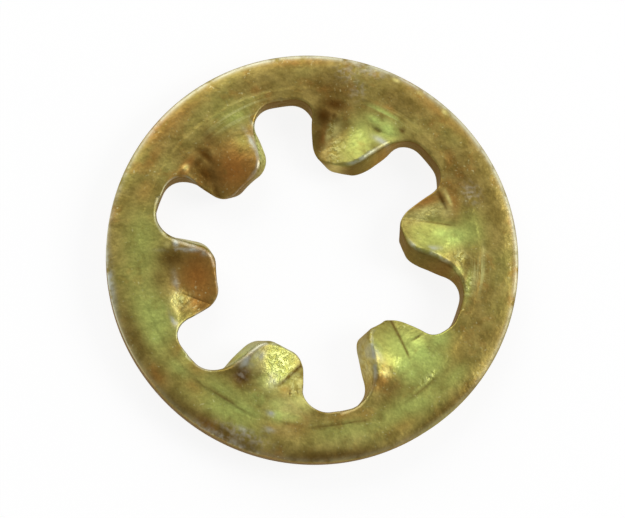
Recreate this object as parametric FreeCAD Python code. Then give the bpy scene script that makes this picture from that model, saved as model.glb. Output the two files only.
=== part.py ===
import FreeCAD, Part
import math
import os

# Lock washer with twisted internal teeth, stamped in one piece from spring steel strip.
# The ring lies in the XY plane, centred on the hole, with the middle of the strip at Z = 0.
# The face with the rolled outer edge is up (+Z), and one tooth points along +X.
# Seen from above, the anticlockwise half of each tooth is pressed down and the other half up.
# All lengths are millimetres.

# Ring
thickness = 0.43
hole_diameter = 3.05
tooth_length = 0.99
ring_width = 0.76

# What the punch and the clamping pad leave on the ring
rolled_edge_width = 0.30
rolled_edge_drop = 0.085
lower_edge_break = 0.03
pad_mark_inset = 0.60
pad_mark_width = 0.05
pad_mark_depth = 0.012

# Teeth, as blanked in the flat strip
tooth_count = 6
tooth_tip_width = 0.86
flank_taper_deg = 20.4
tip_corner_radius = 0.32
tip_corner_turn_deg = 45.0
gap_corner_radius = 0.355

# Teeth, as creased and twisted
bend_line_deg = 35.0
twist_deg = 30.0
crease_spacing_root = 0.23
crease_spacing_tip = 0.92
soft_bend_share = 0.6

# How much of a tip's half width and of a fully round gap bottom a corner may take
tip_corner_limit = 0.8
gap_corner_limit = 0.95

# Points that carry the curved walls of a tooth, and the room that cutting tools get
arc_steps = 4
flank_steps = 3
cutting_spare = 0.03
point_tolerance = 0.003

# Sizes that follow
hole_radius = hole_diameter / 2
gap_radius = hole_radius + tooth_length
outer_radius = gap_radius + ring_width
pitch_deg = 360 / tooth_count
half_thickness = thickness / 2
flank_taper = math.radians(flank_taper_deg)
along_flank = (math.cos(flank_taper), math.sin(flank_taper))
off_flank = (-math.sin(flank_taper), math.cos(flank_taper))
tip_half_spacing = crease_spacing_tip / 2
tip_crease_side = tip_half_spacing * math.cos(math.radians(twist_deg))
tip_crease_drop = tip_half_spacing * math.sin(math.radians(twist_deg))
tool_reach = thickness + tip_crease_drop


def vec(x, y, z=0.0):
    return FreeCAD.Vector(x, y, z)


def turned(shape, angle_deg, axis=(0, 0, 1)):
    """A copy of the shape turned about an axis through the centre of the hole."""
    copy = shape.copy()
    copy.rotate(vec(0, 0), vec(*axis), angle_deg)
    return copy


def flank_arc_centre(off, reach):
    """The point at a distance off the flank line and at a radius reach from the washer's axis."""
    base_x = hole_radius + off * off_flank[0]
    base_y = tooth_tip_width / 2 + off * off_flank[1]
    along = base_x * along_flank[0] + base_y * along_flank[1]
    run = math.sqrt(along ** 2 + reach ** 2 - base_x ** 2 - base_y ** 2) - along
    return base_x + run * along_flank[0], base_y + run * along_flank[1]


def limited_gap_corner():
    """The gap corner radius, no larger than a gap with a fully round bottom allows."""
    middle = math.radians(pitch_deg / 2)
    middle_off = math.cos(middle) * off_flank[0] + math.sin(middle) * off_flank[1]
    flank_off = hole_radius * off_flank[0] + tooth_tip_width / 2 * off_flank[1]
    round_bottom = (gap_radius * middle_off - flank_off) / (1 + middle_off)
    return min(gap_corner_radius, gap_corner_limit * round_bottom)


tip_corner = min(tip_corner_radius, tip_corner_limit * tooth_tip_width / 2)
tip_centre = flank_arc_centre(-tip_corner, hole_radius + tip_corner)
gap_corner = limited_gap_corner()
gap_centre = flank_arc_centre(gap_corner, gap_radius - gap_corner)
bend_x = gap_centre[0] + gap_corner * math.cos(math.radians(bend_line_deg))
bend_half_width = gap_centre[1] - gap_corner * math.sin(math.radians(bend_line_deg))
blank_half_width = bend_half_width + thickness


def washer_disc():
    """The ring's section turned into a full disc: rolled upper edge, broken lower edge, pad mark."""
    top = half_thickness
    rim_top = top - pad_mark_depth
    mark_radius = outer_radius - pad_mark_inset
    roll_start = outer_radius - rolled_edge_width
    roll_low = rim_top - rolled_edge_drop
    roll_middle = vec(
        roll_start + rolled_edge_width * math.sin(math.pi / 4),
        0,
        roll_low + rolled_edge_drop * math.cos(math.pi / 4),
    )
    corners = [
        vec(roll_start, 0, rim_top),
        vec(mark_radius + pad_mark_width, 0, rim_top),
        vec(mark_radius, 0, top),
        vec(0, 0, top),
        vec(0, 0, -top),
        vec(outer_radius - lower_edge_break, 0, -top),
        vec(outer_radius, 0, -top + lower_edge_break),
        vec(outer_radius, 0, roll_low),
    ]
    edges = [Part.LineSegment(a, b).toShape() for a, b in zip(corners, corners[1:])]
    edges.append(Part.Arc(corners[-1], roll_middle, corners[0]).toShape())
    return Part.Face(Part.Wire(edges)).revolve(vec(0, 0), vec(0, 0, 1), 360)


def opening_tool():
    """The hole in the ring without the twisted parts of the teeth: bend lines, gap corners, gap bottoms."""
    edges = []
    bend_end = vec(bend_x, bend_half_width)
    corner_end_angle = math.atan2(gap_centre[1], gap_centre[0])
    corner_end = vec(gap_radius * math.cos(corner_end_angle), gap_radius * math.sin(corner_end_angle))
    middle_angle = (corner_end_angle - math.radians(bend_line_deg)) / 2
    corner_middle = vec(
        gap_centre[0] + gap_corner * math.cos(middle_angle),
        gap_centre[1] + gap_corner * math.sin(middle_angle),
    )
    half_pitch = math.radians(pitch_deg / 2)
    gap_bottom = vec(gap_radius * math.cos(half_pitch), gap_radius * math.sin(half_pitch))

    def mirrored(point):
        return vec(point.x, -point.y)

    next_corner_end = turned(Part.Vertex(mirrored(corner_end)), pitch_deg).Point
    pieces = [
        Part.LineSegment(mirrored(bend_end), bend_end).toShape(),
        Part.Arc(bend_end, corner_middle, corner_end).toShape(),
        Part.Arc(corner_end, gap_bottom, next_corner_end).toShape(),
        turned(Part.Arc(mirrored(corner_end), mirrored(corner_middle), mirrored(bend_end)).toShape(), pitch_deg),
    ]
    for tooth in range(tooth_count):
        edges += [turned(piece, tooth * pitch_deg) for piece in pieces]
    outline = Part.Wire(Part.__sortEdges__(edges))
    return Part.Face(outline).extrude(vec(0, 0, 2 * thickness)).translated(vec(0, 0, -thickness))


def crease_at(x):
    """Side offset, drop, twist angle and half spacing of the creases at a distance x from the axis."""
    share = max(bend_x - x, 0) / (bend_x - hole_radius)
    side = crease_spacing_root / 2 * (1 - share) + tip_crease_side * share
    drop = tip_crease_drop * share
    return side, drop, math.atan2(drop, side), math.hypot(side, drop)


def tooth_section(x):
    """The bent strip across a tooth: sharp on the inside of each bend and soft on the outside."""
    side, drop, twist, half_spacing = crease_at(x)
    mitre = half_thickness * math.tan(twist / 2)
    soft = soft_bend_share * half_spacing
    reach = blank_half_width
    raised = (mitre - side, drop + half_thickness)
    upper = [
        (-reach, drop + half_thickness),
        (raised[0] - soft, raised[1]),
        raised,
        (raised[0] + soft * math.cos(twist), raised[1] - soft * math.sin(twist)),
        (mitre + side, half_thickness - drop),
        (reach, half_thickness - drop),
    ]
    lower = [(-y, -z) for y, z in upper]
    edges = []
    for face, following in ((upper, lower), (lower, upper)):
        a, b, c, d, e, f = [vec(x, y, z) for y, z in face]
        bend = Part.BezierCurve()
        bend.setPoles([b, c, d])
        edges += [Part.LineSegment(a, b).toShape(), bend.toShape()]
        edges += [Part.LineSegment(d, e).toShape(), Part.LineSegment(e, f).toShape()]
        edges.append(Part.LineSegment(f, vec(x, *following[0])).toShape())
    return Part.Wire(edges)


def wall_stations():
    """Points along one side of the flat tooth, from the bend line round the tip corner into the hole.

    Each is a distance from the washer's axis and a distance from the middle of the tooth.
    """
    stations = []
    flank_angle = flank_taper - math.pi / 2
    bend_angle = -math.radians(bend_line_deg)
    for step in range(arc_steps):
        angle = bend_angle + (flank_angle - bend_angle) * step / arc_steps
        stations.append((
            gap_centre[0] + gap_corner * math.cos(angle),
            gap_centre[1] + gap_corner * math.sin(angle),
        ))
    start = [gap_centre[i] - gap_corner * off_flank[i] for i in (0, 1)]
    end = [tip_centre[i] + tip_corner * off_flank[i] for i in (0, 1)]
    for step in range(flank_steps):
        stations.append(tuple(start[i] + (end[i] - start[i]) * step / flank_steps for i in (0, 1)))
    first_angle = flank_taper + math.pi / 2
    last_angle = first_angle + math.radians(tip_corner_turn_deg)
    for step in range(arc_steps + 1):
        angle = first_angle + (last_angle - first_angle) * step / arc_steps
        stations.append((
            tip_centre[0] + tip_corner * math.cos(angle),
            tip_centre[1] + tip_corner * math.sin(angle),
        ))
    x, s = stations[-1]
    for step in range(1, flank_steps + 1):
        run = tip_corner * step / flank_steps
        stations.append((x - run * math.sin(last_angle), s + run * math.cos(last_angle)))
    return stations


def flank_wall():
    """The cut wall down the lowered side of a tooth, everywhere square to the bent strip."""
    above = []
    below = []
    travel = [0.0]
    stations = wall_stations()
    for x, s in stations:
        side, drop, twist, half_spacing = crease_at(x)
        if s > half_spacing:
            edge = vec(x, side + s - half_spacing, -drop)
        else:
            edge = vec(x, s * math.cos(twist), -s * math.sin(twist))
        up = vec(0, math.sin(twist), math.cos(twist)) * tool_reach
        above.append(edge + up)
        below.append(edge - up)
    for (x, s), (next_x, next_s) in zip(stations, stations[1:]):
        travel.append(travel[-1] + math.hypot(next_x - x, next_s - s))
    edges = []
    for points in (below, above):
        curve = Part.BSplineCurve()
        curve.interpolate(Points=points, Parameters=travel)
        edges.append(curve.toShape())
    return Part.makeRuledSurface(*edges)


def tooth():
    """One twisted tooth along +X, from its bend line to its tip."""
    tip_x = math.sqrt(hole_radius ** 2 - (tooth_tip_width / 2) ** 2) - cutting_spare
    blank = Part.makeLoft([tooth_section(bend_x), tooth_section(tip_x)], True, True)
    hole = Part.makeCylinder(hole_radius, 2 * tool_reach, vec(0, 0, -tool_reach))
    lowered_wall = flank_wall()
    raised_wall = turned(lowered_wall, 180, (1, 0, 0))
    pieces = blank.cut(hole).generalFuse([lowered_wall, raised_wall])[0].Solids
    middle = vec((hole_radius + bend_x) / 2, 0)
    return next(piece for piece in pieces if piece.isInside(middle, point_tolerance, True))


def lock_washer():
    """The whole washer: the ring and its teeth as one piece."""
    one_tooth = tooth()
    teeth = [turned(one_tooth, index * pitch_deg) for index in range(tooth_count)]
    ring = washer_disc().cut(opening_tool())
    return ring.fuse(teeth).removeSplitter()


if __name__ == "__main__":
    os.makedirs("parts", exist_ok=True)
    washer = lock_washer()
    washer.exportStep("parts/lock_washer.step")
    print("solids", len(washer.Solids), "valid", washer.isValid(), "volume", round(washer.Volume, 4))
    box = washer.optimalBoundingBox()
    print("size", round(box.XLength, 3), round(box.YLength, 3), round(box.ZLength, 3))
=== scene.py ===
import logging
import math
from dataclasses import dataclass, field
from enum import Enum

import bpy
import numpy as np
from mathutils import Matrix, Vector


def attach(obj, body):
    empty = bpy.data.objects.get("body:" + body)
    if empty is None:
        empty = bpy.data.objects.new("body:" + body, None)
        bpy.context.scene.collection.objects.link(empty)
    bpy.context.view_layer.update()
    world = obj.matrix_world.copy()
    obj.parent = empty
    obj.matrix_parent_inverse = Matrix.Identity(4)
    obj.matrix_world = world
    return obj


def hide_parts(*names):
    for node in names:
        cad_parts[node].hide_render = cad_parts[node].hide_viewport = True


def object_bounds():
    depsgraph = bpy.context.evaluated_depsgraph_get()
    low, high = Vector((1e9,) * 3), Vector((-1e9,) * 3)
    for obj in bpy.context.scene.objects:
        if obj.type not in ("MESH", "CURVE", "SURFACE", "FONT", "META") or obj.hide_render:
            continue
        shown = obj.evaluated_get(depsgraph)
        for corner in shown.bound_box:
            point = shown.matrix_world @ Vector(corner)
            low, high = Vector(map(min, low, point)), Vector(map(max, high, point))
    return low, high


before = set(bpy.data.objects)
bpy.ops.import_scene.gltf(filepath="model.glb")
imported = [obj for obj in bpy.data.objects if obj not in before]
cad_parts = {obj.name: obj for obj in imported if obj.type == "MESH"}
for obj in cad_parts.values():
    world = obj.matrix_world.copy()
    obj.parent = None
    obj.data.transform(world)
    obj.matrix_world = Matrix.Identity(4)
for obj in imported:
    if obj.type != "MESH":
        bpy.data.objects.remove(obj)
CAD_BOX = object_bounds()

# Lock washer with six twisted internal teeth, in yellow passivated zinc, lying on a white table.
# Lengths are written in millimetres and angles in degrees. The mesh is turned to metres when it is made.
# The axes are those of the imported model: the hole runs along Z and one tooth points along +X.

LOG = logging.getLogger("lock_washer")
MILLIMETRE = 0.001
Colour = tuple[float, float, float, float]
Socket = bpy.types.NodeSocket


def ramp(t: np.ndarray, half_width: np.ndarray | float) -> np.ndarray:
    """A bend: nothing before zero and t after it, joined by a parabola over half_width each side.

    Args:
        t: Distance past the bend.
        half_width: Half of the length over which the bend is spread.

    Returns:
        The square of (t + half_width) over four half_widths inside the bend, t beyond it.
    """
    inside = (t + half_width) ** 2 / (4 * half_width)
    return np.where(t <= -half_width, 0.0, np.where(t >= half_width, t, inside))


def smooth_step(t: np.ndarray) -> np.ndarray:
    """Rises from 0 to 1 as t does, level at both ends: 3 t squared less 2 t cubed."""
    t = np.clip(t, 0.0, 1.0)
    return t * t * (3 - 2 * t)


def eased(value: np.ndarray, start: float, run: float) -> np.ndarray:
    """Rises smoothly from 0 at the start to 1 one run further on."""
    return smooth_step((value - start) / run)


def bell(value: np.ndarray, middle: np.ndarray | float, width: float) -> np.ndarray:
    """A bell curve: one over e to the square of the distance from the middle in widths."""
    return np.exp(-(((value - middle) / width) ** 2))


def placed(name: str, data: bpy.types.ID) -> bpy.types.Object:
    """Makes an object of a mesh, a light or a camera, and links it into the scene.

    Args:
        name: The object's name.
        data: What the object shows.

    Returns:
        The object.
    """
    thing = bpy.data.objects.new(name, data)
    bpy.context.scene.collection.objects.link(thing)
    return thing


@dataclass(frozen=True)
class Strip:
    """The ring's own sizes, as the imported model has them."""

    hole_radius: float = 1.525
    gap_radius: float = 2.515
    outer_radius: float = 3.27
    nominal_radius: float = 3.275
    half_thickness: float = 0.215
    pad_mark_radius: float = 2.675
    pad_mark_width: float = 0.05
    pad_mark_depth: float = 0.006
    roll_start: float = 2.975
    roll_drop: float = 0.085
    lower_edge_break: float = 0.03
    upper_lip: float = 0.035
    raised_lip: float = 0.085
    lower_lip: float = 0.02


@dataclass(frozen=True)
class ToothBlank:
    """The outline of a gap and half a tooth in the flat strip, and how closely it is followed."""

    count: int = 6
    half_width: float = 0.43
    flank_taper: float = 20.4
    tip_corner: float = 0.32
    gap_corner: float = 0.355
    stations: int = 76
    fine_steps: int = 4000
    crease_gather: float = 3.2
    crease_gather_width: float = 0.035

    def off_flank(self) -> np.ndarray:
        """The direction square to the flank, out of the tooth."""
        taper = math.radians(self.flank_taper)
        return np.array([-math.sin(taper), math.cos(taper)])

    def along_flank(self) -> np.ndarray:
        """The direction of the flank, from the tip to the root."""
        taper = math.radians(self.flank_taper)
        return np.array([math.cos(taper), math.sin(taper)])

    def arc_centre(self, strip: Strip, off: float, reach: float) -> np.ndarray:
        """The point at a distance off the flank line and at a radius reach from the axis.

        Args:
            strip: The ring's sizes.
            off: Distance off the flank line, positive towards the gap.
            reach: Distance from the washer's axis.

        Returns:
            The point, as distance along the tooth and distance from its middle.
        """
        base = np.array([strip.hole_radius, self.half_width]) + off * self.off_flank()
        along = base @ self.along_flank()
        run = math.sqrt(along ** 2 + reach ** 2 - base @ base) - along
        return base + run * self.along_flank()

    def outline(self, strip: Strip) -> tuple[np.ndarray, np.ndarray]:
        """The outline from the middle of the tip to the middle of the gap, as a fine line of points.

        The tip arc, the tip corner, the straight flank, the gap corner and the gap bottom follow each other,
        each tangent to the next.

        Args:
            strip: The ring's sizes.

        Returns:
            The points and the directions square to the outline, into the metal.
        """
        tip = self.arc_centre(strip, -self.tip_corner, strip.hole_radius + self.tip_corner)
        gap = self.arc_centre(strip, self.gap_corner, strip.gap_radius - self.gap_corner)
        tip_turn = math.atan2(tip[1], tip[0])
        gap_turn = math.atan2(gap[1], gap[0])
        flank_turn = math.radians(self.flank_taper) + math.pi / 2
        middle = math.pi / self.count
        flank_start = tip + self.tip_corner * self.off_flank()
        flank_end = gap - self.gap_corner * self.off_flank()
        t = np.linspace(0.0, 1.0, self.fine_steps)[:, None]

        def arc(centre: np.ndarray, radius: float, start: float, stop: float, side: float) -> np.ndarray:
            """Points and normals of an arc.

            Args:
                centre: The arc's centre.
                radius: Its radius.
                start: The angle at which it starts, in radians.
                stop: The angle at which it ends.
                side: 1 where the normals point away from the centre, -1 where they point to it.

            Returns:
                The points and the normals, side by side.
            """
            angle = start + (stop - start) * t
            out = np.hstack([np.cos(angle), np.sin(angle)])
            return np.hstack([centre + radius * out, side * out])

        flank = np.hstack([flank_start + (flank_end - flank_start) * t, -self.off_flank() + 0 * t])
        origin = np.zeros(2)
        pieces = [
            arc(origin, strip.hole_radius, 0.0, tip_turn, 1.0),
            arc(tip, self.tip_corner, tip_turn + math.pi, flank_turn, -1.0),
            flank,
            arc(gap, self.gap_corner, flank_turn - math.pi, gap_turn, 1.0),
            arc(origin, strip.gap_radius, gap_turn, middle, 1.0),
        ]
        whole = np.vstack([piece if index == 0 else piece[1:] for index, piece in enumerate(pieces)])
        return whole[:, :2], whole[:, 2:]


@dataclass(frozen=True)
class Twist:
    """How a tooth is creased and twisted: the middle leans, the half ahead is down and the half behind up.

    Ahead is anticlockwise, seen from above. The crease offsets are given at the bend line and at the tip.
    Widths, tapers, the skew, the level of the bow and the strength of the painted crease shade are ratios,
    and the shade's lean is in radians. The painted shade is brown laid along the sharp crease to darken it as
    shade would.
    """

    bend_x: float = 2.2252
    bend_half_width: float = 0.7574
    tip_x: float = 1.525
    ahead_root: float = 0.115
    behind_root: float = 0.125
    ahead_width: float = 1.0
    behind_width: float = 1.0
    ahead_taper: float = 0.0
    behind_taper: float = 0.0
    width_fade: float = 0.30
    ahead_tip: float = 0.3984
    behind_tip: float = 0.3984
    tip_drop: float = 0.23
    shorter: float = 0.0
    skew: float = 0.0
    bow: float = 0.0
    bow_width: float = 0.22
    bow_level: float = 0.6
    aside: float = 0.0
    root_softness: float = 0.07
    sharp_bend: float = 0.012
    soft_bend: float = 0.20
    under_bend: float = 0.16
    painted_shade: float = 0.8
    painted_shade_width: float = 0.018
    painted_shade_lean: float = 0.25
    fade_start: float = 0.80
    fade_end: float = 0.95

    def creases(self, x: np.ndarray, s: np.ndarray) -> tuple[np.ndarray, np.ndarray, np.ndarray]:
        """The creases at a place on the flat strip.

        The share of the full twist grows in a straight line from the bend line to the tip. The creases' side
        offsets and the fall from one to the other follow it. The lean is the angle of that fall, and a
        crease's distance from the middle is its side offset over the cosine of the lean.

        Args:
            x: Distance from the washer's axis, along the tooth.
            s: Distance from the middle of the tooth.

        Returns:
            The lean in radians, and the distances of the crease ahead and the crease behind.
        """
        share = ramp(self.bend_x - x, self.root_softness) / (self.bend_x - self.tip_x) * self.on_tooth(s)
        ahead = self.ahead_root * (1 - share) + self.ahead_tip * share
        behind = self.behind_root * (1 - share) + self.behind_tip * share
        lean = np.arctan2(2 * self.tip_drop * share, ahead + behind)
        return lean, ahead / np.cos(lean), behind / np.cos(lean)

    def bent(
        self, along: np.ndarray, lean: np.ndarray, ahead: np.ndarray, behind: np.ndarray, upper: bool
    ) -> np.ndarray:
        """A face of the strip bent at both creases.

        Between the creases the face runs down at the lean, beyond them it is level. Each crease is a ramp:
        the outside of a bend is soft, its inside sharp on the upper face and less sharp on the lower one.

        Args:
            along: Distance along the face from the middle of the tooth.
            lean: Lean of the middle, in radians.
            ahead: Distance of the crease on the side that is down.
            behind: Distance of the crease on the side that is up.
            upper: True for the upper face, whose sharp crease is on the side that is down.

        Returns:
            The face's sideways place and height, in a last axis of two.
        """
        rise = ramp(along + behind, self.soft_bend if upper else self.under_bend)
        fall = ramp(along - ahead, self.sharp_bend if upper else self.soft_bend)
        leaning = rise - fall - behind
        sideways = along + (np.cos(lean) - 1) * leaning
        return np.stack([sideways, -np.sin(lean) * leaning], axis=-1)

    def on_tooth(self, s: np.ndarray) -> np.ndarray:
        """One over the tooth's own width, falling smoothly to zero before the middle of the gap."""
        return 1 - eased(np.abs(s), self.fade_start, self.fade_end - self.fade_start)

    def own_width(self, x: np.ndarray, s: np.ndarray) -> np.ndarray:
        """Distance from the middle once each side is as wide as this tooth has it, fading out at the root.

        The taper narrows a side by the square of the share of the way from the root to the tip.

        Args:
            x: Distance from the washer's axis, along the tooth.
            s: Distance from the middle of the blank's tooth.

        Returns:
            Distance from the middle of this tooth.
        """
        near = smooth_step((self.bend_x + self.width_fade / 2 - x) / self.width_fade) * self.on_tooth(s)
        tipward = np.clip((self.bend_x - x) / (self.bend_x - self.tip_x), 0.0, 1.0) ** 2 * self.on_tooth(s)
        wider = near * (np.where(s > 0, self.ahead_width, self.behind_width) - 1)
        narrower = tipward * np.where(s > 0, self.ahead_taper, self.behind_taper)
        return s * (1 + wider - narrower) + self.aside * near

    def crease_painted_shade(self, x: np.ndarray, s: np.ndarray, half_thickness: float) -> np.ndarray:
        """How much painted shade darkens a point of the upper face near the sharp crease: a bell curve across
        it.

        Args:
            x: Distance from the washer's axis, along the tooth.
            s: Distance from the middle of the tooth.
            half_thickness: Half of the strip's thickness.

        Returns:
            The strength of the painted shade there, none where the tooth hardly leans.
        """
        s = self.own_width(x, s)
        lean, ahead, _ = self.creases(x, s)
        across = s + half_thickness * np.tan(lean / 2) - ahead
        return self.painted_shade * bell(across, 0.0, self.painted_shade_width) * eased(lean, 0.0, self.painted_shade_lean)

    def place(self, x: np.ndarray, s: np.ndarray, level: np.ndarray, half_thickness: float) -> np.ndarray:
        """Where a point of the flat strip goes when the tooth is creased and twisted.

        Each side is first made as wide as this tooth has it, fading out at the root. The tip is drawn back
        by as much as this tooth is shorter, by its skew times the distance from the middle, and by its bow,
        a bell curve turned over, so that the corners go back further than the middle. The upper and the
        lower face are bent by themselves, moved apart by the mitre, and the point lies on the straight line
        between them.

        Args:
            x: Distance from the washer's axis, along the tooth.
            s: Distance from the middle of the tooth.
            level: Height in the flat strip, from minus to plus the half thickness.
            half_thickness: Half of the strip's thickness.

        Returns:
            The points in the tooth's own axes, in a last axis of three.
        """
        tipward = smooth_step((self.bend_x - x) / (self.bend_x - self.tip_x)) * self.on_tooth(s)
        bowed = self.bow * (self.bow_level - bell(s, 0.0, self.bow_width))
        out = (self.shorter + bowed + self.skew * s) * tipward
        s = self.own_width(x, s)
        lean, ahead, behind = self.creases(x, s)
        mitre = half_thickness * np.tan(lean / 2)
        offset = np.stack([mitre, half_thickness + 0 * x], -1)
        upper = self.bent(s + mitre, lean, ahead, behind, True) + offset
        lower = self.bent(s - mitre, lean, ahead, behind, False) - offset
        share = ((level + half_thickness) / (2 * half_thickness))[..., None]
        return np.concatenate([(x + out)[..., None], lower + (upper - lower) * share], axis=-1)

    def crease_line(
        self, x0: np.ndarray, s0: np.ndarray, x: np.ndarray, half_thickness: float, upper: bool
    ) -> np.ndarray:
        """Follows the lie of the creases from a point of the outline to another distance from the axis.

        Between the creases a line keeps its share of their spacing, and beyond them its distance from the
        nearer one, so no line crosses a crease.

        Args:
            x0: Start of the line, distance from the axis.
            s0: Start of the line, distance from the middle of the tooth.
            x: Distance from the axis at which the line is wanted.
            half_thickness: Half of the strip's thickness.
            upper: True on the upper face.

        Returns:
            The line's distance from the middle of the tooth at x.
        """
        sign = 1.0 if upper else -1.0
        lean0, ahead0, behind0 = self.creases(x0, 0 * x0)
        lean, ahead, behind = self.creases(x, 0 * x)
        across0 = s0 + sign * half_thickness * np.tan(lean0 / 2)
        spacing0 = np.where(across0 > 0, ahead0, behind0)
        spacing = np.where(across0 > 0, ahead, behind)
        beyond = np.abs(across0) - spacing0
        within = across0 / spacing0 * spacing
        across = np.where(beyond > 0, np.sign(across0) * (spacing + beyond), within)
        return across - sign * half_thickness * np.tan(lean / 2)


class Tint(Enum):
    """The colours that the passivated zinc takes, with brown also used as painted shade and gold, lime, bare
    and rubbed zinc also as painted highlights, each with the mesh attribute that carries it.
    """

    AMBER = "tint_amber"
    GREEN = "tint_green"
    LIME = "tint_lime"
    GOLD = "tint_gold"
    BROWN = "tint_brown"
    PITTED = "tint_pitted"
    STREAKED = "tint_streaked"
    MAUVE = "tint_mauve"
    BARE_AND_GLINT = "tint_bare_and_glint"
    RUBBED_AND_SHEEN = "tint_rubbed_and_sheen"


@dataclass(frozen=True)
class Patch:
    """A soft-edged patch of one tint. Some patches are the finish's own tone, others painted shade or painted
    highlights.

    Radius and azimuth give its middle, along and across its reach outwards from the hole and round it.
    """

    tint: Tint
    radius: float
    azimuth: float
    along: float
    across: float
    strength: float

    def cover(self, points: np.ndarray) -> np.ndarray:
        """How strongly the patch covers each point: a bell curve in both directions.

        Args:
            points: The points, in the washer's own axes.

        Returns:
            The cover, from nothing to the patch's strength.
        """
        turn = math.radians(self.azimuth)
        out = points[..., 0] * math.cos(turn) + points[..., 1] * math.sin(turn) - self.radius
        round_ = points[..., 1] * math.cos(turn) - points[..., 0] * math.sin(turn)
        return self.strength * np.exp(-((out / self.along) ** 2) - (round_ / self.across) ** 2)


@dataclass(frozen=True)
class Dent:
    """A shallow dent, or a bulge where the depth is negative, pressed into the upper side.

    The turn is the angle of its length off the outward direction, and painted_shade the strength of the brown
    shade painted in its hollow.
    """

    radius: float
    azimuth: float
    along: float
    across: float
    turn: float
    depth: float
    painted_shade: float

    def shape(self, points: np.ndarray) -> np.ndarray:
        """The dent's form: a bell curve along and across its own direction.

        Args:
            points: The points, in the axes of the punched teeth.

        Returns:
            The share of the full depth, from 0 to 1.
        """
        azimuth = math.radians(self.azimuth)
        lie = azimuth + math.radians(self.turn)
        dx = points[..., 0] - self.radius * math.cos(azimuth)
        dy = points[..., 1] - self.radius * math.sin(azimuth)
        a = dx * math.cos(lie) + dy * math.sin(lie)
        b = dy * math.cos(lie) - dx * math.sin(lie)
        return np.exp(-((a / self.along) ** 2) - (b / self.across) ** 2)


# How far the washer lies turned in the picture, anticlockwise.
TURN = 9.98


def seen(azimuth: float) -> float:
    """Turns an azimuth as the picture shows it into the washer's own azimuth."""
    return azimuth - TURN


Place = tuple[float, float, float, float, float]


def marks(tint: Tint, *places: Place) -> tuple[Patch, ...]:
    """Patches of one tint.

    Args:
        tint: The tint that they share.
        places: For each one its radius, its azimuth in the picture, its reach outwards, its reach round
            and its strength.

    Returns:
        The patches.
    """
    return tuple(Patch(tint, radius, seen(azimuth), *rest) for radius, azimuth, *rest in places)


# Patches on the upper side, tooth by tooth. They hold the passivate's own colour changes, and also painted
# shade, mostly brown, at roots, along creases and on facets turned from the light, and painted highlights,
# mostly gold, lime and bare, on facets, ridges and bulges that catch it.
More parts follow.
